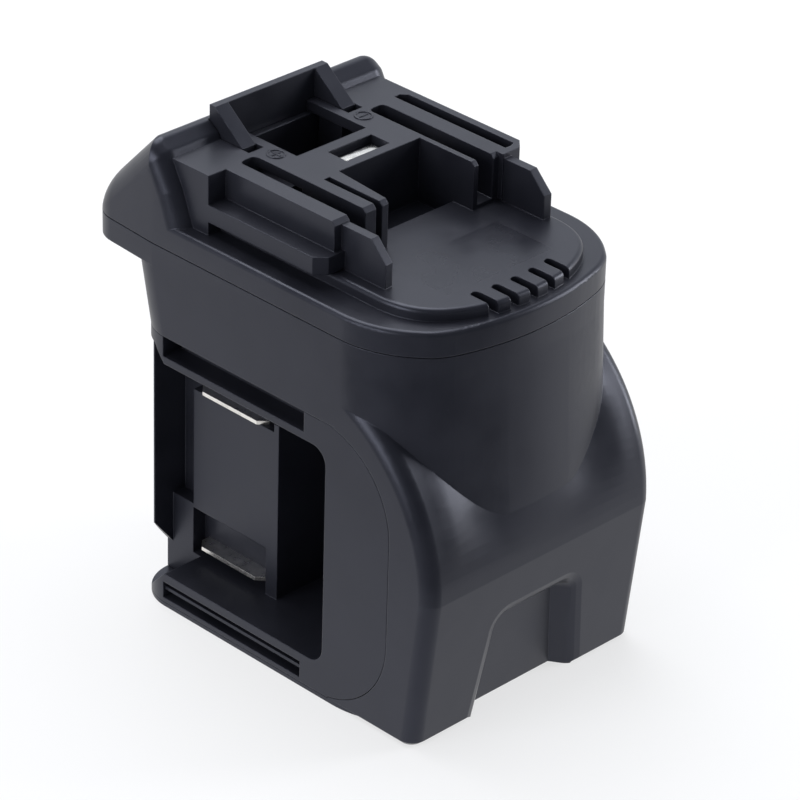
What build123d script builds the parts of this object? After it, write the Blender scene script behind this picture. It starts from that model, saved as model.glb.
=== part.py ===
"""Tool battery adapter: a tool slides on the top rails, and a battery pack slides in either side bay.

Millimetres, +Z up, standing on its base. X is across the body, -Y is the rounded front and +Y is the
nose that carries the release button. The origin is the middle of the footprint, on the base.
"""
import os

from build123d import *

os.makedirs("parts", exist_ok=True)

# Overall form
body_width = 75.0
front_reach = 59.0
tower_setback = 4.6
tower_front = front_reach - tower_setback
front_lean = 3.4
nose_reach = 59.0
tower_rear = 42.6
front_corner = 26.5
rear_corner = 12.0
rear_lean = 3.8
parting_z = 97.8
nose_lip = 5.8
nose_floor_z = parting_z - nose_lip
nose_root = 35.0
nose_floor = 2.6
shelf_z = 78.0
wall = 2.8
overrun = 5.0
seam = 0.12
fit = 0.2
half = body_width / 2

# Base and its shoulders
toe_setback = 4.4
base_toe = front_reach - toe_setback
base_back = 10.0
crease_z = 40.0
crease_radius = 3.0
shoulder_radius = 48.6
shoulder_edge = 4.0
base_edge = 1.2
floor_thickness = 3.0
recess_top_z = 28.0
recess_top_width = 27.0
recess_bottom_width = 34.0
recess_corner = 4.5
recess_depth = 5.0
recess_draft = 3.3
side_wall = 6.6

# Side panels and their bays
panel_front = 45.3
panel_bottom = 1.2
panel_top = 74.6
panel_corner = 23.0
panel_thickness = 4.0
bay_front = 24.4
bay_corner = 4.5
bay_depth = 12.0
pocket_depth = 4.0
well_depth = 15.5
rear_wall = 2.0
rear_wall_depth = 6.0
rear_wall_foot = 7.5
frame_wall = 2.2
lower_lip_z = 9.1
upper_lip_z = 67.4
upper_groove_z = 69.3
groove_depth = 6.0
groove_front = 17.0
groove_rear = 31.0
lower_groove_bottom = 2.3
lower_groove_top = 6.8
groove_rib = 0.9
lead_in = 4.0

# Terminal block in each bay
block_front = 3.7
block_rear = 33.3
block_top = 55.0
rear_pocket_z = 23.0
window_front = 7.6
window_top = 22.0
tab_height = 2.2
tab_width = 1.6
blade_front = 8.6
blade_rear = 31.8
blade_thickness = 1.0
blade_proud = 0.6
blade_tail = 3.2
blade_tip = 2.2
lower_blade_z = 11.6
upper_tail_y = 20.0
lower_tail_y = 11.5
tail_half = 2.6
channel_height = 1.8
channel_rib = 1.2

# Top cover: rim, plate and nose
rim_height = 6.4
ledge_z = parting_z + rim_height
deck_rise = 15.3
deck_z = ledge_z + deck_rise
parting_groove = 0.3
rim_edge = 1.2
nose_taper = 1.6
nose_corner = 9.0
cover_skin = 2.7
plate_rise = 3.0
plate_half = 29.3
plate_margin = 2.6
plate_front = tower_front - plate_margin
plate_corner = 20.5
plate_edge = 1.2
vent_count = 5
vent_pitch = 5.9
vent_width = 2.5
vent_length = 5.8
vent_rear = plate_front - vent_length
hump_foot_y = 25.0
hump_side_y = 28.5
hump_side_rise = 8.8
hump_side_z = ledge_z + hump_side_rise
hump_shoulder_y = 33.0
hump_shoulder_rise = 1.5
hump_shoulder_z = deck_z + hump_shoulder_rise
hump_crest_y = 37.5
hump_crest_rise = 4.3
hump_crest_z = deck_z + hump_crest_rise
hump_tail_y = 58.0
hump_tail_drop = 1.3
hump_tail_z = ledge_z - hump_tail_drop
hump_round = 2.5
hump_edge = 5.0
hump_edge_count = 4
hump_skin_drop = 4.4
hump_skin_z = hump_crest_z - hump_skin_drop
hump_skin = 4.0

# Rails and deck
deck_half = 28.0
rail_half = 33.4
deck_front = 16.0
block_face_y = 20.0
flange_rise = 3.4
flange_bottom = ledge_z + flange_rise
flange_thickness = 4.4
flange_top = flange_bottom + flange_thickness
rail_front = 17.2
rail_chamfer = 2.6
channel_wall = 2.0
channel_end = 1.6
ear_inner = 25.7
ear_front = 30.3
ear_drop = 1.3
ear_chamfer = 4.9
deck_chamfer = 1.0
long_slot_inner = 18.3
long_slot_outer = 23.3
long_slot_rear = 20.6
slot_depth = 11.3
slot_floor_z = deck_z - slot_depth
slot_corner = 1.6
short_slot_inner = 13.0
short_slot_outer = 14.9
short_slot_rear = 1.2
notch_left_rear = 9.4
notch_left_front = 11.0
notch_right = 16.9
notch_rear = 1.9
notch_step_y = 9.6
notch_pocket = 16.5
notch_depth_z = deck_z - notch_pocket
pit_half = 11.2
pit_front = 14.0
contact_slot_left = 4.4
contact_slot_right = 9.7
contact_slot_rear = 10.7
contact_slot_front = 4.5
contact_drop = 1.3

# Release latch
hook_half = 18.1
hook_rise = 7.4
hook_rear = 36.3
hook_wall = 1.9
rib_width = 4.1
rib_foot = 24.9
rib_notch = 2.4
latch_gap = 0.3
latch_base_rise = 5.6
latch_base_z = parting_z + latch_base_rise
latch_base_thickness = 3.0
latch_flange = 1.5
latch_front = 22.0
button_half = 14.0
button_drop = 1.9
button_top_z = deck_z - button_drop
button_height = 7.0
button_bottom_z = button_top_z - button_height
button_slot_drop = 1.6
button_slot_z = ledge_z - button_slot_drop
button_thickness = 3.0
button_proud = 0.8
arm_half = 12.0
arm_rear = 44.0
button_ridge = 0.8
button_ridges = 3

# Latch springs
spring_spacing = 24.0
spring_y = 29.0
spring_wire = 0.8
spring_mean_radius = 2.8
spring_pin = 4.0
spring_pin_height = 3.0
spring_turns = 6

# Carrier, clips and contact
carrier_half = 27.0
carrier_front = 30.0
carrier_rear = 38.0
carrier_drop = 12.8
carrier_bottom = parting_z - carrier_drop
carrier_thickness = 2.6
carrier_corner = 4.0
clip_front = 1.0
clip_rear = 18.0
clip_sink = 6.5
clip_top_z = deck_z - clip_sink
clip_sheet = 0.7
clip_width = 4.2
clip_base_rise = 2.8
clip_base_z = parting_z + clip_base_rise
clip_foot = 1.0
clip_tail = 1.6
clip_throat = 1.1
pedestal_width = 7.0
contact_thickness = 1.0
contact_tail_x = (1.4, 3.4)

# Circuit board and its parts
board_length = 54.0
board_width = 48.0
board_thickness = 1.6
board_drop = 6.4
board_z = carrier_bottom - board_drop
board_y = 2.0
standoff_diameter = 5.0
standoff_spacing_x = 38.0
standoff_spacing_y = 46.0
mosfet_width = 10.0
mosfet_length = 9.0
mosfet_height = 4.4
mosfet_pitch = 15.0
mosfet_y = -12.0
mosfet_count = 3
capacitor_diameter = 8.0
capacitor_height = 11.0
capacitor_edge = 0.6
capacitor_y = 16.0

# Leads
lead_diameter = 2.6

# Screws
screw_shank = 2.8
screw_head = 5.6
screw_head_height = 2.2
screw_recess = 1.3
screw_drive = 2.4
cover_screw_front_x = 24.5
cover_screw_front_y = -43.0
cover_screw_seat = 3.4
cover_screw_length = 8.0
screw_clearance = 0.2
screw_tunnel = 6.4
boss_wall = 1.3
cover_screw_rear_y = 50.6
cover_screw_rear_x = 24.0
frame_screw_y = -35.0
frame_screw_low_z = 26.0
frame_screw_high_z = 50.0
frame_screw_length = 5.0
frame_screw_grip = 3.0
carrier_screw_length = 8.0
carrier_screw_x = 23.0
carrier_screw_y = -25.0
board_screw_length = 5.0

# Places worked out from the sizes above
plate_z = ledge_z + plate_rise
core_x = half - bay_depth
pocket_x = core_x - pocket_depth
frame_inner = pocket_x - frame_wall
well_x = core_x - well_depth
rear_wall_x = core_x + rear_wall_depth
lean_share = (nose_floor_z - panel_top) / (nose_floor_z - crease_z)
mid_lean = front_lean * lean_share
panel_inner = half - panel_thickness
under_skin_z = ledge_z - cover_skin
deck_under_z = deck_z - cover_skin
screw_seat_z = parting_z - cover_screw_seat
well_half = hook_half + latch_gap
well_rear = hook_rear + latch_gap
carrier_top = carrier_bottom + carrier_thickness
clip_x = (long_slot_inner + long_slot_outer) / 2
cover_screw_places = [
    (side * across, along)
    for side in (-1, 1)
    for across, along in (
        (cover_screw_front_x, cover_screw_front_y),
        (cover_screw_rear_x, cover_screw_rear_y),
    )
]
carrier_screw_places = [(side * carrier_screw_x, carrier_screw_y) for side in (-1, 1)]
screw_hole = screw_shank / 2 + screw_clearance
up = (0, 0, 1)
toe_plane = Plane(origin=(0, -base_toe, 0), x_dir=(1, 0, 0), z_dir=(0, -crease_z, base_toe - front_reach))


def span_box(xs, ys, zs, mode=Mode.ADD):
    """A box between two places along each axis."""
    middles = [(low + high) / 2 for low, high in (xs, ys, zs)]
    with Locations(tuple(middles)):
        Box(xs[1] - xs[0], ys[1] - ys[0], zs[1] - zs[0], mode=mode)


def tower_plan(height, lean=0, rear=tower_rear, inset=0):
    """The body's plan outline, with its front leaning out, drawn in from its outer face."""
    front = tower_front + lean - inset
    back = rear - inset
    with BuildSketch(Plane.XY.offset(height)) as plan:
        with Locations((0, (back - front) / 2)):
            Rectangle(body_width - 2 * inset, front + back)
        fillet(plan.vertices().group_by(Axis.Y)[0], front_corner + lean / 2 - inset)
        fillet(plan.vertices().group_by(Axis.Y)[-1], rear_corner - inset)
    return plan.sketch


def nose_plan(height, inset=0):
    """The rim's plan outline: the tower's front with the tapered, rounded nose behind."""
    side = half - inset
    tip = nose_reach - inset
    bend = front_corner - inset
    lead = tower_front - inset
    with BuildSketch(Plane.XY.offset(height)) as plan:
        with BuildLine():
            Polyline(
                (-side, bend - lead),
                (-side, nose_root),
                (nose_taper - side, tip),
                (side - nose_taper, tip),
                (side, nose_root),
                (side, bend - lead),
            )
            RadiusArc((side, bend - lead), (side - bend, -lead), bend)
            Line((side - bend, -lead), (bend - side, -lead))
            RadiusArc((bend - side, -lead), (-side, bend - lead), bend)
        make_face()
        fillet(plan.vertices().group_by(Axis.Y)[-1], nose_corner - inset)
    return plan.sketch


def base_profile(inset=0):
    """The base in side view: leaning toe, soft crease and the quarter round of the shoulders."""
    toe = (inset - base_toe, inset)
    crease = (inset - front_reach, crease_z)
    peak = (shoulder_radius - front_reach, crease_z + shoulder_radius - inset)
    with BuildSketch(Plane.YZ) as profile:
        with BuildLine():
            Polyline((base_back, inset), toe, crease)
            RadiusArc(crease, peak, shoulder_radius - inset)
            Polyline(peak, (base_back, peak[1]), (base_back, inset))
        make_face()
        fillet(profile.vertices().sort_by(Axis.X)[0], crease_radius)
    return profile.sketch


def panel_outline(place, clearance=0):
    """The side panel's outline in side view, on a plane at an X place."""
    low, high = panel_bottom - clearance, panel_top + clearance
    front = panel_front + clearance
    rear = tower_rear + overrun
    with BuildSketch(Plane.YZ.offset(place)) as outline:
        with Locations(((rear - front) / 2, (low + high) / 2)):
            Rectangle(rear + front, high - low)
        fillet(outline.vertices().group_by(Axis.X)[0], panel_corner)
    return outline.sketch


def recess_outline(outward, inset=0):
    """The notch between the front feet, on a plane out from the toe's face, wider the further out it is."""
    grow = outward * recess_draft / recess_depth + inset
    foot = recess_bottom_width / 2 + grow
    head = recess_top_width / 2 + grow
    top = recess_top_z + grow
    with BuildSketch(toe_plane.offset(outward)) as outline:
        with BuildLine():
            Polyline(
                (-foot, -overrun),
                (-foot, 0),
                (-head, top),
                (head, top),
                (foot, 0),
                (foot, -overrun),
                close=True,
            )
        make_face()
        fillet(outline.vertices().group_by(Axis.Y)[-1], recess_corner + grow)
    return outline.sketch


def hump_profile():
    """The raised rear of the cover in side view: steep front, rounded crest and the long rear slope."""
    with BuildSketch(Plane.YZ) as profile:
        with BuildLine():
            Polyline(
                (hump_foot_y, ledge_z),
                (hump_side_y, hump_side_z),
                (hump_shoulder_y, hump_shoulder_z),
                (hump_crest_y, hump_crest_z),
                (hump_tail_y, hump_tail_z),
                (nose_reach, ledge_z - rim_edge),
                (nose_reach, parting_z + parting_groove),
                (hump_foot_y, parting_z + parting_groove),
                close=True,
            )
        make_face()
        fillet(profile.vertices().sort_by(Axis.Y)[-3:], hump_round)
    return profile.sketch


def slope_z(along):
    """The height of the hump's rear slope at a place along Y."""
    fall_share = (hump_crest_z - hump_tail_z) / (hump_tail_y - hump_crest_y)
    return hump_crest_z - (along - hump_crest_y) * fall_share


def slope_y(height):
    """The place along Y where the hump's rear slope has a height."""
    run_share = (hump_tail_y - hump_crest_y) / (hump_crest_z - hump_tail_z)
    return hump_crest_y + (hump_crest_z - height) * run_share


def disc(place, direction, radius, length, mode=Mode.ADD):
    """A round bar from a place along a direction."""
    with BuildSketch(Plane(origin=place, z_dir=direction)) as circle:
        Circle(radius)
    extrude(circle.sketch, amount=length, mode=mode)


def screw(place, direction, length):
    """A pan head screw with its head on the place and its shank along the direction."""
    disc(place, direction, screw_shank / 2, length)
    back = tuple(-part for part in direction)
    disc(place, back, screw_head / 2, screw_head_height)
    tip = tuple(at + part * (screw_head_height - screw_recess) for at, part in zip(place, back))
    disc(tip, back, screw_drive / 2, screw_recess + overrun, mode=Mode.SUBTRACT)


def write(part, name):
    """Labels a finished piece and writes it under its own name."""
    part.label = name
    export_step(part, f"parts/{name}.step")


# The base block, with its rounded shoulder edges, before it joins the tower
with BuildPart() as base_block:
    extrude(base_profile(), amount=half, both=True)
    side_edges = base_block.faces().filter_by(Axis.X).edges()
    toe_edges = side_edges.filter_by(GeomType.LINE).group_by(Axis.Y)[0]
    fillet(side_edges.filter_by(GeomType.CIRCLE) + toe_edges, shoulder_edge)
    chamfer(base_block.faces().sort_by(Axis.Z)[0].edges().filter_by(Axis.X).sort_by(Axis.Y)[0], base_edge)

# The drafted notch in the toe, and the inside walls around it, kept within the base
with BuildPart() as notch:
    loft([recess_outline(overrun), recess_outline(-recess_depth)])
with BuildPart() as notch_walls:
    loft([recess_outline(overrun, wall), recess_outline(-recess_depth - wall, wall)])
    add(base_block.part, mode=Mode.INTERSECT)

# Main housing: tower, base, leaning rear wall and the nose's lower lip in one moulding
with BuildPart() as main_housing:
    extrude(tower_plan(0), amount=crease_z)
    loft([tower_plan(crease_z, front_lean), tower_plan(panel_top, mid_lean)])
    loft([tower_plan(panel_top, mid_lean), tower_plan(nose_floor_z, rear=tower_rear + rear_lean)])
    extrude(nose_plan(nose_floor_z), amount=parting_z - nose_floor_z)
    add(base_block.part)

    # The hollow inside, with thick side walls behind the panels
    with BuildSketch(Plane.XY.offset(floor_thickness)) as hollow:
        add(tower_plan(floor_thickness, inset=wall))
        Rectangle(2 * (half - side_wall), 2 * nose_reach, mode=Mode.INTERSECT)
    extrude(hollow.sketch, amount=shelf_z - floor_thickness, mode=Mode.SUBTRACT)
    extrude(base_profile(floor_thickness), amount=half - side_wall, both=True, mode=Mode.SUBTRACT)
    extrude(tower_plan(shelf_z, inset=wall), amount=parting_z - shelf_z, mode=Mode.SUBTRACT)
    extrude(nose_plan(nose_floor_z + nose_floor, wall), amount=parting_z, mode=Mode.SUBTRACT)
    add(notch_walls.part)
    add(notch.part, mode=Mode.SUBTRACT)

    # The openings that the two side panels drop into
    for side in (-1, 1):
        extrude(panel_outline(side * half, seam), amount=-side * (panel_thickness + seam), mode=Mode.SUBTRACT)
        reach = sorted((side * (half + overrun), side * (frame_inner - overrun)))
        span_box(
            reach,
            (-bay_front - frame_wall - seam, tower_rear + overrun),
            (panel_bottom - seam, panel_top + seam),
            mode=Mode.SUBTRACT,
        )
        for height in (frame_screw_low_z, frame_screw_high_z):
            inner = (side * (half - side_wall - overrun), frame_screw_y, height)
            disc(inner, (side, 0, 0), screw_hole, side_wall + overrun, Mode.SUBTRACT)

    # Posts and deep tunnels for the screws that hold the cover
    for across, along in cover_screw_places:
        foot = nose_floor_z if along > 0 else 0
        below = foot - overrun
        disc((across, along, foot), up, screw_tunnel / 2 + boss_wall, parting_z - foot)
        disc((across, along, below), up, screw_tunnel / 2, screw_seat_z - below, Mode.SUBTRACT)
        disc((across, along, foot), up, screw_hole, parting_z, Mode.SUBTRACT)
write(main_housing.part, "main_housing")

# Left bay frame: side panel, pack rails and terminal block in one insert
with BuildPart() as left_bay_frame:
    extrude(panel_outline(-half), amount=panel_thickness)
    rear_end = tower_rear + overrun
    span_box((-half, -frame_inner), (-bay_front - frame_wall, rear_end), (panel_bottom, panel_top))
    well_wall = (bay_corner - bay_front - frame_wall, block_front + frame_wall)
    span_box((-frame_inner, frame_wall - well_x), well_wall, (lower_lip_z - frame_wall, upper_lip_z + frame_wall))
    with BuildSketch() as rear_turns:
        with Locations((0, (tower_rear - front_reach) / 2)):
            Rectangle(body_width, tower_rear + front_reach)
        fillet(rear_turns.vertices().group_by(Axis.Y)[-1], rear_corner)
    extrude(rear_turns.sketch, amount=panel_top, mode=Mode.INTERSECT)

    # The bay between the two lips
    with BuildSketch(Plane.YZ.offset(-half)) as bay_mouth:
        with Locations(((rear_end - bay_front) / 2, (lower_lip_z + upper_lip_z) / 2)):
            Rectangle(rear_end + bay_front, upper_lip_z - lower_lip_z)
        fillet(bay_mouth.vertices().group_by(Axis.X)[0], bay_corner)
    extrude(bay_mouth.sketch, amount=bay_depth, mode=Mode.SUBTRACT)

    # A well in front of the terminal block, and pockets above it and behind it
    well = (-core_x - overrun, -well_x)
    deep = (-core_x - overrun, -pocket_x)
    pocket_rear = tower_rear - rear_wall
    span_box(well, (bay_corner - bay_front, block_front), (lower_lip_z, upper_lip_z), mode=Mode.SUBTRACT)
    span_box(deep, (block_front, block_rear), (block_top, upper_lip_z), mode=Mode.SUBTRACT)
    span_box(deep, (block_rear, pocket_rear), (rear_pocket_z, upper_lip_z), mode=Mode.SUBTRACT)
    span_box(deep, (window_front, block_rear), (lower_lip_z, window_top), mode=Mode.SUBTRACT)

    # The tab at the top of the block's front edge
    span_box((-core_x, -pocket_x), (block_front, block_front + tab_width), (block_top, block_top + tab_height))

    # Grooves in the outer faces of the two rails, the lower one with a rib along it
    groove = (-half - overrun, groove_depth - half)
    groove_run = (-groove_front, groove_rear)
    for sill, head in ((upper_groove_z, panel_top + overrun), (lower_groove_bottom, lower_groove_top)):
        span_box(groove, groove_run, (sill, head), mode=Mode.SUBTRACT)
    middle = (lower_groove_bottom + lower_groove_top) / 2
    rib = (middle - groove_rib / 2, middle + groove_rib / 2)
    span_box((groove_rib - half, groove_depth - half), groove_run, rib)

    # Lead-in slopes at the open rear ends of the lips
    start = tower_rear - rear_corner
    for lip, way, drop in ((lower_lip_z, -1, lower_lip_z), (upper_lip_z, 1, lead_in)):
        with BuildSketch(Plane.YZ.offset(-half - overrun)) as ramp:
            with BuildLine():
                Polyline(
                    (start, lip),
                    (rear_end, lip),
                    (rear_end, lip + way * drop),
                    (start + drop, lip + way * drop),
                    close=True,
                )
            make_face()
        extrude(ramp.sketch, amount=bay_depth + overrun, mode=Mode.SUBTRACT)

    # The rear wall behind the pocket, with its sloped foot, inside the rounded rear corner
    with BuildSketch(Plane.XZ.offset(-tower_rear)) as rear_sheet:
        with BuildLine():
            Polyline(
                (-pocket_x, lower_lip_z),
                (-core_x, lower_lip_z),
                (-rear_wall_x, lower_lip_z + rear_wall_foot),
                (-rear_wall_x, upper_lip_z + lead_in),
                (-pocket_x, upper_lip_z + lead_in),
                close=True,
            )
        make_face()
    extrude(rear_sheet.sketch, amount=rear_wall)
    extrude(rear_turns.sketch, amount=panel_top, mode=Mode.INTERSECT)

    # Slots that the tails of the two blades are pressed through
    for height, tail in ((block_top, upper_tail_y), (lower_blade_z, lower_tail_y)):
        through = (-pocket_x, overrun - frame_inner)
        along = (tail - tail_half, tail + tail_half)
        span_box(through, along, (height, height + blade_thickness), mode=Mode.SUBTRACT)

    # Channels on the inner face that hold the two leads on their way up
    for height, tail in ((block_top, upper_tail_y), (lower_blade_z, lower_tail_y)):
        for way in (-1, 1):
            near = tail + way * (lead_diameter / 2 + seam)
            rib = sorted((near, near + way * channel_rib))
            rise = (height + blade_thickness + channel_rib, panel_top)
            span_box((-frame_inner, channel_height - frame_inner), rib, rise)

    # Pilots for the two screws that come from the inside
    for height in (frame_screw_low_z, frame_screw_high_z):
        inner = (-panel_inner, frame_screw_y, height)
        disc(inner, (-1, 0, 0), screw_shank / 2, frame_screw_grip, Mode.SUBTRACT)
write(left_bay_frame.part, "left_bay_frame")

with BuildPart() as right_bay_frame:
    mirror(left_bay_frame.part, about=Plane.YZ)
write(right_bay_frame.part, "right_bay_frame")


# Contact blades that lie level in the bays, with their tails through the frames
blade_edge = -core_x - blade_proud
for level, blade_z, tail in (("upper", block_top, upper_tail_y), ("lower", lower_blade_z, lower_tail_y)):
    with BuildPart() as left_blade:
        with BuildSketch(Plane.XY.offset(blade_z)):
            with BuildLine():
                Polyline(
                    (blade_edge + blade_tip, blade_front),
                    (blade_edge, blade_front + blade_tip),
                    (blade_edge, blade_rear - blade_tip),
                    (blade_edge + blade_tip, blade_rear),
                    (-pocket_x, blade_rear),
                    (-pocket_x, blade_front),
                    close=True,
                )
            make_face()
        extrude(amount=blade_thickness)
        tail_end = (-pocket_x, blade_tail - frame_inner)
        span_box(tail_end, (tail - tail_half, tail + tail_half), (blade_z, blade_z + blade_thickness))
    write(left_blade.part, f"left_{level}_blade")
    with BuildPart() as right_blade:
        mirror(left_blade.part, about=Plane.YZ)
    write(right_blade.part, f"right_{level}_blade")

    # The lead from this blade's tail up to the circuit board, against the frame's inner wall
    for side, place in ((-1, "left"), (1, "right")):
        with BuildPart() as lead:
            start = (side * (frame_inner - lead_diameter / 2), tail, blade_z + blade_thickness)
            disc(start, up, lead_diameter / 2, board_z - start[2])
        write(lead.part, f"{place}_{level}_lead")

# The cover's hump, rounded along its sides, before it joins the cover
with BuildPart() as hump_block:
    extrude(hump_profile(), amount=half, both=True)
    side_edges = hump_block.faces().filter_by(Axis.X).edges().group_by(Axis.Z)
    fillet([edge for group in side_edges[-hump_edge_count:] for edge in group], hump_edge)
    extrude(nose_plan(parting_z), amount=hump_crest_z, mode=Mode.INTERSECT)

# Top cover: rim, front plate, rails, deck and the hump of the nose
with BuildPart() as top_cover:
    extrude(nose_plan(parting_z), amount=ledge_z - parting_z)
    chamfer(top_cover.faces().sort_by(Axis.Z)[0].edges(), parting_groove)
    rim_edges = top_cover.faces().sort_by(Axis.Z)[-1].edges()
    fillet(rim_edges.filter_by(lambda edge: edge.center().Y < hump_foot_y), rim_edge)
    add(hump_block.part)

    # The front plate, rounded along its edge, with its row of vents
    with BuildSketch(Plane.XY.offset(ledge_z)) as plate:
        with Locations((0, (hump_foot_y - plate_front) / 2)):
            Rectangle(2 * plate_half, plate_front + hump_foot_y)
        fillet(plate.vertices().group_by(Axis.Y)[0], plate_corner)
    extrude(plate.sketch, amount=plate_rise)
    level_faces = top_cover.faces().filter_by(Axis.Z)
    plate_edges = level_faces.filter_by(lambda face: abs(face.center().Z - plate_z) < seam).edges()
    fillet(plate_edges.filter_by(lambda edge: edge.center().Y < hump_foot_y - overrun), plate_edge)
    with BuildSketch(Plane.XY.offset(ledge_z)) as vents:
        with GridLocations(vent_pitch, 0, vent_count, 1):
            with Locations((0, -vent_rear - overrun)):
                SlotOverall(2 * overrun + vent_width, vent_width, rotation=90)
    extrude(vents.sketch, amount=plate_rise, mode=Mode.SUBTRACT)

    # Rear block, deck and the ears that run on from its outer strips
    span_box((-rail_half, rail_half), (block_face_y, hump_shoulder_y), (ledge_z, deck_z))
    span_box((-deck_half, deck_half), (-deck_front, block_face_y), (ledge_z, deck_z))
    with BuildSketch(Plane.YZ.offset(ear_inner)) as ear:
        with BuildLine():
            Polyline(
                (-deck_front, ledge_z),
                (-ear_front, ledge_z),
                (-ear_front, deck_z - ear_drop - ear_chamfer),
                (ear_chamfer - ear_front, deck_z - ear_drop),
                (-deck_front, deck_z - ear_drop),
                close=True,
            )
        make_face()
    extrude(ear.sketch, amount=deck_half - ear_inner)
    extrude(mirror(ear.sketch, about=Plane.YZ, mode=Mode.PRIVATE), amount=ear_inner - deck_half)

    # Flanges under both sides: open above on the left, a walled channel on the right
    for side in (-1, 1):
        inner = side * (deck_half - wall)
        with BuildSketch(Plane.XY.offset(flange_bottom)) as flange:
            with BuildLine():
                Polyline(
                    (inner, block_face_y),
                    (side * rail_half, block_face_y),
                    (side * rail_half, rail_chamfer - rail_front),
                    (side * (rail_half - rail_chamfer), -rail_front),
                    (inner, -rail_front),
                    close=True,
                )
            make_face()
        extrude(flange.sketch, amount=(flange_top if side < 0 else deck_z) - flange_bottom)
    with BuildSketch(Plane.XY.offset(flange_top)) as channel:
        with BuildLine():
            Polyline(
                (deck_half, block_face_y + channel_end),
                (rail_half - channel_wall - channel_end, block_face_y + channel_end),
                (rail_half - channel_wall, block_face_y),
                (rail_half - channel_wall, rail_chamfer - rail_front),
                (rail_half - channel_wall - channel_end, -rail_front + channel_wall),
                (deck_half, -rail_front + channel_wall),
                close=True,
            )
        make_face()
    extrude(channel.sketch, amount=deck_z, mode=Mode.SUBTRACT)

    # Slots for the tool's blades, open to the front
    slot_height = deck_z + overrun - slot_floor_z
    for side in (-1, 1):
        with BuildSketch(Plane.XY.offset(slot_floor_z)) as long_slot:
            with Locations((side * clip_x, (long_slot_rear - ear_front - overrun) / 2)):
                Rectangle(long_slot_outer - long_slot_inner, long_slot_rear + ear_front + overrun)
            fillet(long_slot.vertices().group_by(Axis.Y)[-1], slot_corner)
        extrude(long_slot.sketch, amount=slot_height, mode=Mode.SUBTRACT)
    short_slot = (-short_slot_outer, -short_slot_inner)
    short_run = (-deck_front - overrun, short_slot_rear)
    span_box(short_slot, short_run, (slot_floor_z, deck_z + overrun), mode=Mode.SUBTRACT)

    # The open notch in the deck's front, with a deeper pocket behind a step
    with BuildSketch(Plane.XY.offset(plate_z)) as deck_notch:
        with BuildLine():
            Polyline(
                (-notch_left_rear, notch_rear),
                (notch_right, notch_rear),
                (notch_right, -deck_front - overrun),
                (-notch_left_front, -deck_front - overrun),
                (-notch_left_front, -deck_front),
                close=True,
            )
        make_face()
    extrude(deck_notch.sketch, amount=deck_z, mode=Mode.SUBTRACT)
    pocket_sides = (-notch_left_rear, notch_right)
    span_box(pocket_sides, (-notch_step_y, notch_rear), (notch_depth_z, deck_z), mode=Mode.SUBTRACT)

    # Chamfered front ends of the deck's strips
    level = top_cover.faces().filter_by(Axis.Z)
    deck_edges = level.filter_by(lambda face: abs(face.center().Z - deck_z) < seam).edges().filter_by(Axis.X)
    chamfer(deck_edges.filter_by(lambda edge: abs(edge.center().Y + deck_front) < seam), deck_chamfer)

    # Hollow under the ledge, the deck and the hump
    extrude(nose_plan(parting_z, wall), amount=under_skin_z - parting_z, mode=Mode.SUBTRACT)
    well_way = (-well_half, well_half)
    span_box(well_way, (notch_rear + wall, well_rear), (parting_z, deck_under_z), mode=Mode.SUBTRACT)
    flange_way = (-well_half - latch_flange, well_half + latch_flange)
    flange_room = (parting_z, latch_base_z + latch_base_thickness + latch_gap)
    span_box(flange_way, (latch_front - latch_gap, well_rear), flange_room, mode=Mode.SUBTRACT)
    with BuildSketch(Plane.YZ) as hump_room:
        with BuildLine():
            Polyline(
                (well_rear - seam, parting_z),
                (well_rear - seam, hump_skin_z),
                (slope_y(hump_skin_z) - hump_skin, hump_skin_z),
                (slope_y(under_skin_z) - hump_skin, under_skin_z),
                (slope_y(under_skin_z) - hump_skin, parting_z),
                close=True,
            )
        make_face()
    extrude(hump_room.sketch, amount=half - wall - hump_edge, both=True, mode=Mode.SUBTRACT)

    # Openings for the hook, its window and the button
    above = (deck_under_z - overrun, hump_crest_z + overrun)
    rib_run = (rib_foot - rib_notch, well_rear)
    span_box(well_way, (hook_rear - hook_wall - latch_gap, well_rear), above, mode=Mode.SUBTRACT)
    for side in (-1, 1):
        rib = sorted((side * well_half, side * (hook_half - rib_width - latch_gap)))
        span_box(rib, rib_run, above, mode=Mode.SUBTRACT)
    span_box(well_way, rib_run, (deck_z, above[1]), mode=Mode.SUBTRACT)
    span_box((-pit_half, pit_half), (pit_front, well_rear), above, mode=Mode.SUBTRACT)
    button_way = (-button_half - latch_gap, button_half + latch_gap)
    button_rise = (button_slot_z, button_top_z + latch_gap)
    span_box(button_way, (hump_crest_y + wall, nose_reach + overrun), button_rise, mode=Mode.SUBTRACT)

    # The window over the bright contact, and the holes that the clips stand in
    window = ((-contact_slot_left, contact_slot_right), (contact_slot_front, contact_slot_rear))
    span_box(*window, (deck_under_z - overrun, deck_z + overrun), mode=Mode.SUBTRACT)
    for side in (-1, 1):
        across = sorted((side * long_slot_inner, side * long_slot_outer))
        clip_run = (clip_front - latch_gap, clip_rear + latch_gap)
        span_box(across, clip_run, (parting_z, slot_floor_z + overrun), mode=Mode.SUBTRACT)

    # Bosses for the cover screws, and posts for the screws of the carrier
    for across, along in cover_screw_places:
        foot = (across, along, parting_z)
        post_height = (under_skin_z if along < 0 else slope_z(along) - hump_skin / 2) - parting_z
        disc(foot, up, screw_tunnel / 2, post_height)
        disc(foot, up, screw_shank / 2, cover_screw_length - cover_screw_seat, Mode.SUBTRACT)
    for across, along in carrier_screw_places:
        foot = (across, along, carrier_top)
        disc(foot, up, standoff_diameter / 2, under_skin_z - carrier_top)
        disc(foot, up, screw_shank / 2, carrier_screw_length - carrier_thickness, Mode.SUBTRACT)
write(top_cover.part, "top_cover")

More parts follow.
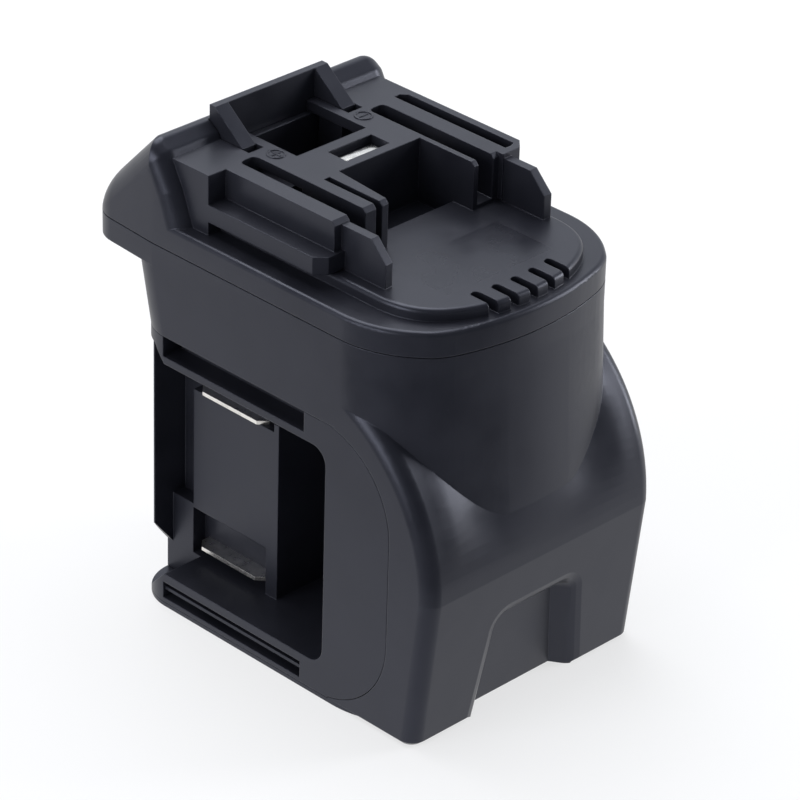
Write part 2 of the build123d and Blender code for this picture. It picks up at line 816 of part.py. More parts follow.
# Release latch: hook with its two ribs, base plate and the button on an arm
with BuildPart() as release_latch:
    hook_top_z = deck_z + hook_rise
    base_top = latch_base_z + latch_base_thickness
    with BuildSketch(Plane.YZ) as hook_side:
        with BuildLine():
            Polyline(
                (hook_rear, latch_base_z),
                (hook_rear, hook_top_z),
                (hook_rear - hook_wall, hook_top_z),
                (rib_foot, deck_z),
                (rib_foot, latch_base_z),
                close=True,
            )
        make_face()
    extrude(hook_side.sketch, amount=hook_half, both=True)
    between = hook_half - rib_width
    ribs_run = (rib_foot, hook_rear - hook_wall)
    span_box((-between, between), ribs_run, (base_top, hook_top_z + overrun), mode=Mode.SUBTRACT)
    flange_half = hook_half + latch_flange
    span_box((-flange_half, flange_half), (latch_front, hook_rear), (latch_base_z, base_top))
    span_box((-arm_half, arm_half), (hook_rear, arm_rear), (latch_base_z, base_top))
    face_y = slope_y(button_top_z) + button_proud
    with BuildSketch(Plane.YZ) as button_side:
        with BuildLine():
            Polyline(
                (arm_rear - latch_base_thickness, latch_base_z),
                (arm_rear, latch_base_z),
                (slope_y(button_bottom_z) + button_proud, button_bottom_z),
                (face_y, button_top_z),
                (face_y - button_thickness, button_top_z),
                (face_y - button_thickness, button_bottom_z + latch_base_thickness),
                (arm_rear - latch_base_thickness, base_top),
                close=True,
            )
        make_face()
    extrude(button_side.sketch, amount=arm_half, both=True)
    ridge_pitch = (button_top_z - button_bottom_z) / button_ridges
    for step in range(button_ridges):
        ridge_z = button_bottom_z + (step + 1 / 2) * ridge_pitch
        disc((-arm_half, slope_y(ridge_z) + button_proud, ridge_z), (1, 0, 0), button_ridge, 2 * arm_half)
write(release_latch.part, "release_latch")

# Latch springs: helical coils between the carrier's pins and the latch's base plate
spring_length = latch_base_z - carrier_top - spring_wire
turn_rise = spring_length / spring_turns
least_gap = turn_rise - spring_wire
print(f"least gap between the turns of a latch spring: {least_gap:.2f} mm")
for side, place in ((-1, "left"), (1, "right")):
    centre = (side * spring_spacing / 2, spring_y, carrier_top + spring_wire / 2)
    with BuildPart() as latch_spring:
        with BuildLine(Plane(origin=centre)) as coil:
            Helix(turn_rise, spring_length, spring_mean_radius)
        with BuildSketch(Plane(origin=coil.line @ 0, z_dir=coil.line % 0)):
            Circle(spring_wire / 2)
        sweep(path=coil.line)
    write(latch_spring.part, f"{place}_latch_spring")

# Contact carrier: a plate under the cover with pedestals, spring pins and board standoffs
pedestal_spans = [(side * clip_x - pedestal_width / 2, side * clip_x + pedestal_width / 2) for side in (-1, 1)]
tail_spans = [(side * clip_x - clip_tail / 2, side * clip_x + clip_tail / 2) for side in (-1, 1)]
tail_run = (clip_rear - 2 * clip_tail, clip_rear - clip_tail)
contact_z = deck_z - contact_drop
contact_across = (fit - contact_slot_left, contact_slot_right - fit)
contact_along = (contact_slot_front + fit, contact_slot_rear - fit)
standoff_places = [
    (across * standoff_spacing_x / 2, board_y + along * standoff_spacing_y / 2)
    for across in (-1, 1)
    for along in (-1, 1)
]
with BuildPart() as contact_carrier:
    with BuildSketch(Plane.XY.offset(carrier_bottom)) as carrier_plan:
        with Locations((0, (carrier_rear - carrier_front) / 2)):
            Rectangle(2 * carrier_half, carrier_rear + carrier_front)
        fillet(carrier_plan.vertices(), carrier_corner)
    extrude(carrier_plan.sketch, amount=carrier_thickness)
    for across in pedestal_spans:
        span_box(across, (clip_front, clip_rear), (carrier_top, clip_base_z))
    span_box(contact_across, contact_along, (carrier_top, contact_z - contact_thickness))
    for side in (-1, 1):
        pin = (side * spring_spacing / 2, spring_y, carrier_top)
        disc(pin, up, spring_pin / 2, spring_pin_height)
    for across, along in standoff_places:
        base = (across, along, board_z + board_thickness)
        disc(base, up, standoff_diameter / 2, carrier_bottom - base[2])
        disc(base, up, screw_shank / 2, board_screw_length - board_thickness, Mode.SUBTRACT)
    for across, along in carrier_screw_places:
        disc((across, along, carrier_bottom), up, screw_hole, carrier_thickness, Mode.SUBTRACT)
    for across in tail_spans:
        span_box(across, tail_run, (carrier_bottom, clip_base_z), mode=Mode.SUBTRACT)
    contact_tail_y = (contact_along[0] + clip_tail, contact_along[0] + 2 * clip_tail)
    span_box(contact_tail_x, contact_tail_y, (carrier_bottom, contact_z), mode=Mode.SUBTRACT)
write(contact_carrier.part, "contact_carrier")

# Clips that grip the tool's blades: two sprung leaves on a base, with a tail down to the board
for side, place, tail_span in ((-1, "left", tail_spans[0]), (1, "right", tail_spans[1])):
    with BuildPart() as tool_clip:
        with BuildSketch(Plane.XY.offset(clip_base_z)) as leaves:
            for way in (-1, 1):
                flare = side * clip_x + way * clip_width / 2
                throat = side * clip_x + way * clip_throat
                middle = (clip_front + clip_rear) / 2
                thick = way * clip_sheet
                with BuildLine():
                    ThreePointArc((flare, clip_front), (throat, middle), (flare, clip_rear))
                    Line((flare, clip_rear), (flare - thick, clip_rear))
                    ThreePointArc(
                        (flare - thick, clip_rear),
                        (throat - thick, middle),
                        (flare - thick, clip_front),
                    )
                    Line((flare - thick, clip_front), (flare, clip_front))
                make_face()
        extrude(leaves.sketch, amount=clip_top_z - clip_base_z)
        span_box(
            (side * clip_x - clip_width / 2, side * clip_x + clip_width / 2),
            (clip_front, clip_rear),
            (clip_base_z, clip_base_z + clip_foot),
        )
        span_box(tail_span, tail_run, (board_z, clip_base_z))
    write(tool_clip.part, f"{place}_tool_clip")

# Bright contact plate under its window, with a tail down to the board
with BuildPart() as deck_contact:
    span_box(contact_across, contact_along, (contact_z - contact_thickness, contact_z))
    fillet(deck_contact.edges().filter_by(Axis.X).group_by(Axis.Z)[-1], contact_thickness / 2)
    span_box(contact_tail_x, contact_tail_y, (board_z, contact_z - contact_thickness))
write(deck_contact.part, "deck_contact")

# Circuit board with holes for its screws and for the tails of the contacts
with BuildPart() as circuit_board:
    board_along = (board_y - board_length / 2, board_y + board_length / 2)
    span_box((-board_width / 2, board_width / 2), board_along, (board_z, board_z + board_thickness))
    for across, along in standoff_places:
        disc((across, along, board_z), up, screw_hole, board_thickness, Mode.SUBTRACT)
    for across, along in [(span, tail_run) for span in tail_spans] + [(contact_tail_x, contact_tail_y)]:
        span_box(across, along, (board_z, board_z + board_thickness), mode=Mode.SUBTRACT)
write(circuit_board.part, "circuit_board")

# Three power transistors in a row on the board's top
with BuildPart() as power_transistors:
    with Locations((0, mosfet_y, board_z + board_thickness + mosfet_height / 2)):
        with GridLocations(mosfet_pitch, 0, mosfet_count, 1):
            Box(mosfet_width, mosfet_length, mosfet_height)
write(power_transistors.part, "power_transistors")

# Smoothing capacitor, hanging from the board's underside between the two frames
with BuildPart() as capacitor:
    disc((0, capacitor_y, board_z - capacitor_height), up, capacitor_diameter / 2, capacitor_height)
    fillet(capacitor.edges().sort_by(Axis.Z)[0], capacitor_edge)
write(capacitor.part, "capacitor")

# Screws, each kind in one node
with BuildPart() as cover_screws:
    for across, along in cover_screw_places:
        screw((across, along, screw_seat_z), up, cover_screw_length)
write(cover_screws.part, "cover_screws")

with BuildPart() as frame_screws:
    for side in (-1, 1):
        for height in (frame_screw_low_z, frame_screw_high_z):
            screw((side * (half - side_wall), frame_screw_y, height), (side, 0, 0), frame_screw_length)
write(frame_screws.part, "frame_screws")

with BuildPart() as carrier_screws:
    for across, along in carrier_screw_places:
        screw((across, along, carrier_bottom), up, carrier_screw_length)
write(carrier_screws.part, "carrier_screws")

with BuildPart() as board_screws:
    for across, along in standoff_places:
        screw((across, along, board_z), up, board_screw_length)
write(board_screws.part, "board_screws")
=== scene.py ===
"""Looks of a tool battery adapter: satin black mouldings, nickel contacts and a white studio.

Metres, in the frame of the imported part: X across the two bays, -Y is the rounded front, +Z is up.
"""

import math

import bmesh
import bpy
from mathutils import Matrix, Vector


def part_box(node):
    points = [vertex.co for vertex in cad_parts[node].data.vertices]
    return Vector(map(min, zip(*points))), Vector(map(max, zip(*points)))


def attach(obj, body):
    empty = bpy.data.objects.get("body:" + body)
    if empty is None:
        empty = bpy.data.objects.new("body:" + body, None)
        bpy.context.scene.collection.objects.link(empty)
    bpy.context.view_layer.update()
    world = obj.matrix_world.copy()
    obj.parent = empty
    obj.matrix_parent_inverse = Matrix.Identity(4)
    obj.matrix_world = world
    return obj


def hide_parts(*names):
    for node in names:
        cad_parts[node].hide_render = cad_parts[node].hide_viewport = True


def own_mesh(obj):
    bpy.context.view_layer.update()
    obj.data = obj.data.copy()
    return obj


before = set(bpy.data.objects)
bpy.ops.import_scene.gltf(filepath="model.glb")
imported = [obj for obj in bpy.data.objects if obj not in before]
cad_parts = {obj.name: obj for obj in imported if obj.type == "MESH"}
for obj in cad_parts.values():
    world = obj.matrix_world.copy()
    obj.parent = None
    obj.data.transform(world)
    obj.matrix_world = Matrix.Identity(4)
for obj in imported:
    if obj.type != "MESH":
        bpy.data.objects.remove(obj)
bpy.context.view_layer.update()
MM = 0.001

# Camera, at the photograph's place
CAMERA_PLACE = (-0.62715, -0.62369, 0.55915)
CAMERA_AZIMUTH = math.radians(-45.66)
CAMERA_ELEVATION = math.radians(29.61)
CAMERA_ROLL = math.radians(1.77)
SENSOR = 36.0
LENS = 192.3

# Meshes
WELD = 0.001 * MM
SKIN_GAP = 0.03 * MM
SHARP_ANGLE = math.radians(14)
COIL_SHARP = math.radians(50)
EDGE_PROFILE = 0.5

# Rounder front of the tower: the solid's plan, and the bowed plan that the photograph shows.
# The bow sets in over a range of heights, and ends over a range to the sides and to the rear.
HALF_WIDTH = 37.5 * MM
CAD_FRONT = 54.4 * MM
CAD_CORNER = 26.5 * MM
BOW_FRONT = 54.6 * MM
BOW_RADIUS = 75.4 * MM
BOW_CORNER = 22.0 * MM
BOW_FADE = (44 * MM, 56 * MM)
BOW_SIDE = (27 * MM, 31 * MM)
BOW_DEPTH = (-34 * MM, -26 * MM)
SLICE = 2.4 * MM

# Soft end of the nose: each pair is a distance to the rear and a height
NOSE_TIP = 59.0 * MM
NOSE_CREST = (37.5 * MM, 123.8 * MM)
NOSE_TAIL = (58.0 * MM, 102.9 * MM)
NOSE_ROOT = 35.0 * MM
NOSE_TAPER = 1.6 * MM
NOSE_CORNER = 9.0 * MM
NOSE_ROUND = 6.0 * MM
NOSE_STEPS = 10

# Rounded lip of the notch between the feet, on the leaning toe
TOE_FOOT = -54.6 * MM
TOE_CREASE = (-59.0 * MM, 40.0 * MM)
NOTCH_FOOT = 17.0 * MM
NOTCH_HEAD = 13.5 * MM
NOTCH_TOP = 28.0 * MM
NOTCH_DEPTH = 4.6 * MM
NOTCH_DRAFT_SHARE = 0.66
NOTCH_CORNER = 4.5 * MM
NOTCH_STEPS = 8
NOTCH_LIP = 2.4 * MM
LIP_STEPS = 6

# Latch: its travel, and the ledge across its hook
HOOK_RISE = 7.4 * MM
HOOK_WALL = 1.9 * MM
HOOK_REAR = 36.3 * MM
LEDGE_HALF = 13.8 * MM
LEDGE_DEPTH = 1.8 * MM
LEDGE_DROP = 3.0 * MM
LEDGE_EDGE = 0.3 * MM
LEDGE_STEPS = 3
LATCH_BASE = 3.0 * MM

# Marks on the deck
PLUS_PLACE = (-14.1 * MM, 17.9 * MM)
MINUS_PLACE = (15.3 * MM, 19.0 * MM)
MARK_RING = 2.35 * MM
MARK_STROKE = 0.5 * MM
MARK_RISE = 0.2 * MM
MARK_REACH_SHARE = 0.62
MARK_STEPS = 40
STROKE_STEPS = 2

# Bright contact: the bar in the deck's window and the leg under it, each from corner to corner
CONTACT_BAR = ((-5.6 * MM, 4.9 * MM), (8.2 * MM, 8.9 * MM))
BAR_THICKNESS = 1.0 * MM
BAR_EDGE = 0.45 * MM
BAR_STEPS = 4
CONTACT_LEG = ((1.4 * MM, 6.3 * MM), (3.4 * MM, 7.3 * MM))
LEG_EDGE = 0.2 * MM
LEG_STEPS = 2

# Colours
PLASTIC = (0.0100, 0.0105, 0.0150)
# Paler plastic for clouds, dust and edges; on the edges it is partly wear and partly a painted
# highlight
PLASTIC_PALE_WEAR_AND_HIGHLIGHT = (0.040, 0.041, 0.052)
PLASTIC_TINT = (0.75, 0.79, 1.0)
NICKEL = (0.90, 0.88, 0.85)
STEEL = (0.56, 0.56, 0.57)
ZINC = (0.42, 0.43, 0.46)
BOARD = (0.012, 0.105, 0.040)
EPOXY = (0.018, 0.018, 0.020)
SLEEVE = (0.020, 0.028, 0.070)
RED = (0.42, 0.018, 0.014)
FLOOR = (0.80, 0.81, 0.84)

# Roughness of each finish
HOUSING_ROUGHNESS = 0.36
COVER_ROUGHNESS = 0.35
INSERT_ROUGHNESS = 0.40
LATCH_ROUGHNESS = 0.40
MARK_ROUGHNESS = 0.30
BLADE_ROUGHNESS = 0.30
CLIP_ROUGHNESS = 0.20
CONTACT_ROUGHNESS = 0.16
SPRING_ROUGHNESS = 0.28
SCREW_ROUGHNESS = 0.34
BOARD_ROUGHNESS = 0.34
EPOXY_ROUGHNESS = 0.52
SLEEVE_ROUGHNESS = 0.30
LEAD_ROUGHNESS = 0.45
FLOOR_ROUGHNESS = 0.9

# Noise: how many finer layers it has, and the range of its values that counts
COARSE, FINE, LAYERED, RICH, DENSE = 1.0, 2.0, 3.0, 4.0, 5.0
MIDDLE_RANGE = (0.30, 0.70)

# Colour sockets of a mix node, by number: its sockets of other kinds have the same names
MIX_COLOURS = (6, 7)
MIX_RESULT = 2

# Moulded plastic
PLASTIC_IOR = 1.5
PLASTIC_SPECULAR = 0.42
PLASTIC_EDGE = 0.35 * MM
CLOUD_SIZE = 14 * MM
CLOUD_SHARE = 0.16
CLOUD_ROUGHNESS = 0.05
# Paler, smoother patches along the edges: partly wear, partly a painted edge highlight
RUB_AND_HIGHLIGHT_SIZE = 2.6 * MM
RUB_AND_HIGHLIGHT_RANGE = (0.40, 0.62)
RUB_AND_HIGHLIGHT_SHARES = (0.12, 0.62)
RUB_POLISH = 0.14
DUST_SPACING = 3.4 * MM
DUST_RANGE = (0.030, 0.045)
DUST_SHARE = 0.35
FLOW_SIZE = 9 * MM
FLOW_DEPTH = 0.05 * MM
GRAIN_SIZE = 0.30 * MM
GRAIN_DEPTH = 0.010 * MM
BARE_PLATE = ((-17 * MM, -41.5 * MM), (17 * MM, -23.5 * MM))
BARE_POLISH = 0.07
BEVEL_SAMPLES = 6
# How the paler edge, partly wear and partly a painted highlight, fades onto the faces
EDGE_WEAR_AND_HIGHLIGHT_RANGE = (0.995, 0.86)

# Plated metal
BRUSHED, EVEN = (1, 1, 14), (1, 1, 1)
METAL_EDGE = 0.12 * MM
LINE_SIZE = 1.6 * MM
LINE_DEPTH = 0.004 * MM
LINE_ROUGHNESS = (-0.06, 0.10)
TARNISH_SIZE = 3.0 * MM
TARNISH_RANGE = (0.35, 0.70)
TARNISH_SHARE = 0.7
TARNISH_DARK = 0.72

# Coats
COAT_SIZE = 2.0 * MM
EPOXY_SIZE = 0.6 * MM
COAT_EDGE = 0.15 * MM
COAT_DEPTH = 0.02 * MM
COAT_ROUGHNESS = (-0.06, 0.08)
COAT_PALE = 1.35
COAT_LIFT = 0.004

# World: an even fill, and reflections from bright behind to dark in front
WORLD_FILL = 0.42
WORLD_COLOUR = (0.90, 0.94, 1.0)
WORLD_BACK = 0.92
WORLD_FRONT = 0.06
WORLD_TURN = (-0.35, 0.45)
DARK_SIDE = (-0.62, -0.62, 0.48)

# Floor: its glow to the camera, and its brightness in reflections by the object and out in front
STAGE_SIZE = 6.0
FLOOR_GLOW = 0.66
FLOOR_GLOSS = 0.95
FLOOR_DIM = 0.20
DIM_REACH = (0.09, 0.16)
DIM_AHEAD = (0.03, 0.10)
DIM_SIDE = (-0.707, -0.707, 0)

# Lamps: place, size and watts
LAMP_TARGET = (0, 0, 0.07)
LAMPS = {
    "top": ((0.12, 0.42, 1.05), (0.9, 0.9), 11),
    "left": ((-1.2, 0.15, 0.45), (0.8, 0.7), 9),
    "right": ((0.9, -0.55, 0.35), (0.35, 0.7), 7),
}


def feed(tree, socket, value):
    """Links an output to a socket, or sets a number, a vector or a colour on it."""
    if isinstance(value, bpy.types.NodeSocket):
        tree.links.new(value, socket)
    else:
        socket.default_value = value


def material(name):
    """A new node material, with its tree, its shader and a place node in object metres."""
    made = bpy.data.materials.new(name)
    made.use_nodes = True
    tree = made.node_tree
    shader = tree.nodes["Principled BSDF"]
    place = tree.nodes.new("ShaderNodeTexCoord").outputs["Object"]
    return made, tree, shader, place


def noise(tree, place, size, detail, stretch=EVEN):
    """Noise whose features are about one size across, in metres."""
    mapping = tree.nodes.new("ShaderNodeMapping")
    mapping.inputs["Scale"].default_value = stretch
    tree.links.new(place, mapping.inputs["Vector"])
    texture = tree.nodes.new("ShaderNodeTexNoise")
    texture.inputs["Scale"].default_value = 1 / size
    texture.inputs["Detail"].default_value = detail
    tree.links.new(mapping.outputs["Vector"], texture.inputs["Vector"])
    return texture.outputs["Fac"]


def remap(tree, value, reach, to_low, to_high):
    """A value moved from a range, given as a pair, to another one, and kept inside it."""
    ranged = tree.nodes.new("ShaderNodeMapRange")
    ranged.inputs["From Min"].default_value = reach[0]
    ranged.inputs["From Max"].default_value = reach[1]
    ranged.inputs["To Min"].default_value = to_low
    ranged.inputs["To Max"].default_value = to_high
    tree.links.new(value, ranged.inputs["Value"])
    return ranged.outputs["Result"]


def combine(tree, operation, first, second):
    """Two values joined by a math operation; each is an output or a number."""
    joined = tree.nodes.new("ShaderNodeMath")
    joined.operation = operation
    feed(tree, joined.inputs[0], first)
    feed(tree, joined.inputs[1], second)
    return joined.outputs["Value"]


def measure(tree, operation, vector, other=None):
    """A number from a vector: its length, or its dot product with an output or a fixed vector."""
    measured = tree.nodes.new("ShaderNodeVectorMath")
    measured.operation = operation
    tree.links.new(vector, measured.inputs[0])
    if other is not None:
        feed(tree, measured.inputs[1], other)
    return measured.outputs["Value"]


def blend_colours(tree, factor, first, second):
    """A colour between two, by a factor; each is an output or a colour."""
    mixed = tree.nodes.new("ShaderNodeMix")
    mixed.data_type = "RGBA"
    tree.links.new(factor, mixed.inputs["Factor"])
    for index, colour in zip(MIX_COLOURS, (first, second)):
        linked = isinstance(colour, bpy.types.NodeSocket)
        feed(tree, mixed.inputs[index], colour if linked else (*colour, 1))
    return mixed.outputs[MIX_RESULT]


def edge_softening(tree, radius):
    """The surface's normal, rounded over along the edges."""
    bevel = tree.nodes.new("ShaderNodeBevel")
    bevel.samples = BEVEL_SAMPLES
    bevel.inputs["Radius"].default_value = radius
    return bevel.outputs["Normal"]


def edge_wear_and_highlight(tree, rounded):
    """Where the rounded normal leaves the flat one: near one along the edges, zero on the faces."""
    # The mask of the paler edges: partly wear and partly a painted highlight
    flat = tree.nodes.new("ShaderNodeNewGeometry").outputs["Normal"]
    return remap(tree, measure(tree, "DOT_PRODUCT", rounded, flat), EDGE_WEAR_AND_HIGHLIGHT_RANGE, 0.0, 1.0)


def bump(tree, height, distance, normal):
    """A normal raised by a height, over a distance in metres."""
    raised = tree.nodes.new("ShaderNodeBump")
    raised.inputs["Distance"].default_value = distance
    tree.links.new(height, raised.inputs["Height"])
    tree.links.new(normal, raised.inputs["Normal"])
    return raised.outputs["Normal"]


def inside_box(tree, place, low, high):
    """One where a place is over a rectangle seen from above, zero outside it."""
    parts = tree.nodes.new("ShaderNodeSeparateXYZ")
    tree.links.new(place, parts.inputs["Vector"])
    inside = 1.0
    for axis, start, end in zip("XY", low, high):
        for operation, limit in (("GREATER_THAN", start), ("LESS_THAN", end)):
            test = combine(tree, operation, parts.outputs[axis], limit)
            inside = combine(tree, "MULTIPLY", test, inside)
    return inside


def moulded_plastic(name, roughness, bare=None):
    """Satin black plastic: spark grain, faint flow marks, paler edges that are partly wear and
    partly a painted highlight, and a little dust.

    A bare field, given by two corners seen from above, is smoother.
    """
    made, tree, shader, place = material(name)
    rounded = edge_softening(tree, PLASTIC_EDGE)
    cloud = noise(tree, place, CLOUD_SIZE, RICH)
    patches = remap(tree, noise(tree, place, RUB_AND_HIGHLIGHT_SIZE, LAYERED), RUB_AND_HIGHLIGHT_RANGE, *RUB_AND_HIGHLIGHT_SHARES)
    # Paler edges: partly wear, partly a painted edge highlight
    rubbed_and_highlit = combine(tree, "MULTIPLY", edge_wear_and_highlight(tree, rounded), patches)
    specks = tree.nodes.new("ShaderNodeTexVoronoi")
    specks.inputs["Scale"].default_value = 1 / DUST_SPACING
    tree.links.new(place, specks.inputs["Vector"])
    dust = remap(tree, specks.outputs["Distance"], DUST_RANGE, DUST_SHARE, 0.0)
    marked_and_highlit = combine(tree, "MAXIMUM", rubbed_and_highlit, dust)
    clouded = remap(tree, cloud, MIDDLE_RANGE, 0.0, CLOUD_SHARE)
    toned = blend_colours(tree, clouded, PLASTIC, PLASTIC_PALE_WEAR_AND_HIGHLIGHT)
    colour = blend_colours(tree, marked_and_highlit, toned, PLASTIC_PALE_WEAR_AND_HIGHLIGHT)
    tree.links.new(colour, shader.inputs["Base Color"])

    smoothest, roughest = roughness - CLOUD_ROUGHNESS, roughness + CLOUD_ROUGHNESS
    satin = remap(tree, cloud, MIDDLE_RANGE, smoothest, roughest)
    satin = combine(tree, "SUBTRACT", satin, combine(tree, "MULTIPLY", rubbed_and_highlit, RUB_POLISH))
    if bare is not None:
        polish = combine(tree, "MULTIPLY", inside_box(tree, place, *bare), BARE_POLISH)
        satin = combine(tree, "SUBTRACT", satin, polish)
    tree.links.new(satin, shader.inputs["Roughness"])

    flow = bump(tree, noise(tree, place, FLOW_SIZE, COARSE), FLOW_DEPTH, rounded)
    grain = bump(tree, noise(tree, place, GRAIN_SIZE, FINE), GRAIN_DEPTH, flow)
    tree.links.new(grain, shader.inputs["Normal"])
    shader.inputs["IOR"].default_value = PLASTIC_IOR
    shader.inputs["Specular IOR Level"].default_value = PLASTIC_SPECULAR
    shader.inputs["Specular Tint"].default_value = (*PLASTIC_TINT, 1)
    return made


def plated_metal(name, colour, roughness, stretch=BRUSHED):
    """Bright plating over stamped sheet or wire, with fine lines and duller patches."""
    made, tree, shader, place = material(name)
    rounded = edge_softening(tree, METAL_EDGE)
    lines = noise(tree, place, LINE_SIZE, DENSE, stretch)
    patches = noise(tree, place, TARNISH_SIZE, LAYERED)
    dark = tuple(part * TARNISH_DARK for part in colour)
    tarnish = remap(tree, patches, TARNISH_RANGE, 0.0, TARNISH_SHARE)
    tree.links.new(blend_colours(tree, tarnish, colour, dark), shader.inputs["Base Color"])
    smoothest, roughest = (roughness + change for change in LINE_ROUGHNESS)
    finish = remap(tree, lines, MIDDLE_RANGE, smoothest, roughest)
    tree.links.new(finish, shader.inputs["Roughness"])
    tree.links.new(bump(tree, lines, LINE_DEPTH, rounded), shader.inputs["Normal"])
    shader.inputs["Metallic"].default_value = 1.0
    return made


def coated(name, colour, roughness, mottle=COAT_SIZE):
    """An even coat such as solder mask, epoxy, sleeve or wire insulation, with a slight mottle."""
    made, tree, shader, place = material(name)
    cloud = noise(tree, place, mottle, LAYERED)
    pale = tuple(min(1.0, part * COAT_PALE + COAT_LIFT) for part in colour)
    mottled = remap(tree, cloud, MIDDLE_RANGE, 0.0, 1.0)
    tree.links.new(blend_colours(tree, mottled, colour, pale), shader.inputs["Base Color"])
    smoothest, roughest = (roughness + change for change in COAT_ROUGHNESS)
    finish = remap(tree, cloud, MIDDLE_RANGE, smoothest, roughest)
    tree.links.new(finish, shader.inputs["Roughness"])
    raised = bump(tree, cloud, COAT_DEPTH, edge_softening(tree, COAT_EDGE))
    tree.links.new(raised, shader.inputs["Normal"])
    return made


def dress(made, *nodes):
    """Gives one material to CAD nodes."""
    for node in nodes:
        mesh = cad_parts[node].data
        mesh.materials.clear()
        mesh.materials.append(made)


def dress_frame():
    """Every CAD node's material."""
    inserts = ("left_bay_frame", "right_bay_frame", "contact_carrier")
    dress(moulded_plastic("insert plastic", INSERT_ROUGHNESS), *inserts)
    dress(moulded_plastic("latch plastic", LATCH_ROUGHNESS), "release_latch")
    blades = [f"{side}_{level}_blade" for side in ("left", "right") for level in ("upper", "lower")]
    dress(plated_metal("nickel", NICKEL, BLADE_ROUGHNESS), *blades)
    clips = ("left_tool_clip", "right_tool_clip")
    dress(plated_metal("clip nickel", NICKEL, CLIP_ROUGHNESS), *clips)
    springs = ("left_latch_spring", "right_latch_spring")
    dress(plated_metal("spring steel", STEEL, SPRING_ROUGHNESS, EVEN), *springs)
    screws = ("cover_screws", "frame_screws", "carrier_screws", "board_screws")
    dress(plated_metal("zinc", ZINC, SCREW_ROUGHNESS, EVEN), *screws)
    dress(coated("solder mask", BOARD, BOARD_ROUGHNESS), "circuit_board")
    dress(coated("epoxy", EPOXY, EPOXY_ROUGHNESS, EPOXY_SIZE), "power_transistors")
    dress(coated("sleeve", SLEEVE, SLEEVE_ROUGHNESS), "capacitor")
    for colour_name, colour, level in (("red", RED, "upper"), ("black", EPOXY, "lower")):
        leads = (f"left_{level}_lead", f"right_{level}_lead")
        dress(coated(f"{colour_name} insulation", colour, LEAD_ROUGHNESS), *leads)


def in_scene(name, data):
    """A new object with this data, linked to the scene."""
    thing = bpy.data.objects.new(name, data)
    bpy.context.scene.collection.objects.link(thing)
    return thing


def as_object(name, shape, mesh=None):
    """An object from a bmesh, written to the given mesh or to a new one with outward faces."""
    if mesh is None:
        mesh = bpy.data.meshes.new(name)
        bmesh.ops.recalc_face_normals(shape, faces=shape.faces)
    shape.to_mesh(mesh)
    shape.free()
    return in_scene(name, mesh)


def set_sharp_edges(mesh, sharp=SHARP_ANGLE):
    """Marks an edge sharp where its faces meet at more than a set angle, and smooths the rest."""
    shape = bmesh.new()
    shape.from_mesh(mesh)
    for face in shape.faces:
        face.smooth = True
    for edge in shape.edges:
        edge.smooth = edge.is_manifold and edge.calc_face_angle(0.0) < sharp
    shape.to_mesh(mesh)
    shape.free()


def make_piece(name, shape, made, body="adapter"):
    """A finished piece from a bmesh, with its material, slot and body."""
    piece = as_object(name, shape)
    set_sharp_edges(piece.data)
    piece.data.materials.append(made)
    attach(piece, body)
    return piece


def finish_stand_in(piece, made, node, sharp=SHARP_ANGLE):
    """Gives a node's copy its edges, its material and its body, and hides the node that it stands
    for.
    """
    set_sharp_edges(piece.data, sharp)
    piece.data.materials.clear()
    piece.data.materials.append(made)
    weighted = piece.modifiers.new("weighted normals", "WEIGHTED_NORMAL")
    weighted.keep_sharp = True
    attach(piece, "adapter")
    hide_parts(node)


def add_box(shape, low, high, radius, segments):
    """A box with rounded edges, added to a bmesh."""
    corners = bmesh.ops.create_cube(shape, size=1.0)["verts"]
    for corner in corners:
        corner.co = [a + (b - a) * (part + 0.5) for a, b, part in zip(low, high, corner.co)]
    edges = list(dict.fromkeys(edge for corner in corners for edge in corner.link_edges))
    bmesh.ops.bevel(
        shape, geom=edges, offset=radius, segments=segments, profile=EDGE_PROFILE, affect="EDGES"
    )


def join_rings(shape, first, second):
    """Faces between two rings that have as many points."""
    for index in range(len(first)):
        follow = (index + 1) % len(first)
        shape.faces.new((first[index], first[follow], second[follow], second[index]))


def front_shift(across):
    """How far the bowed plan lies behind the solid's plan at a place across the front."""
    x = min(abs(across), HALF_WIDTH)
    flat = HALF_WIDTH - CAD_CORNER
    cad = -CAD_FRONT
    if x > flat:
        cad = CAD_CORNER - CAD_FRONT - math.sqrt(max(0.0, CAD_CORNER**2 - (x - flat) ** 2))
    centre = BOW_RADIUS - BOW_FRONT
    turn_x = HALF_WIDTH - BOW_CORNER
    inner = BOW_RADIUS - BOW_CORNER
    turn_y = centre - math.sqrt(inner**2 - turn_x**2)
    if x < BOW_RADIUS * turn_x / inner:
        bowed = centre - math.sqrt(BOW_RADIUS**2 - x**2)
    else:
        bowed = turn_y - math.sqrt(max(0.0, BOW_CORNER**2 - (x - turn_x) ** 2))
    return bowed - cad


def fade(value, start, end):
    """A smooth step from zero at the start to one at the end."""
    share = min(1.0, max(0.0, (value - start) / (end - start)))
    return share * share * (3 - 2 * share)


def welded_copy(node):
    """A CAD node's mesh as a bmesh with its doubled points joined, and the mesh to write it to."""
    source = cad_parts[node]
    mesh = source.data.copy()
    mesh.transform(source.matrix_world)
    shape = bmesh.new()
    shape.from_mesh(mesh)
    bmesh.ops.remove_doubles(shape, verts=shape.verts, dist=WELD)
    return shape, mesh


def in_front(face):
    """Whether a face reaches into the part of the front that bows."""
    ahead = min(vert.co.y for vert in face.verts) < BOW_DEPTH[1]
    return ahead and max(vert.co.z for vert in face.verts) > BOW_FADE[0]


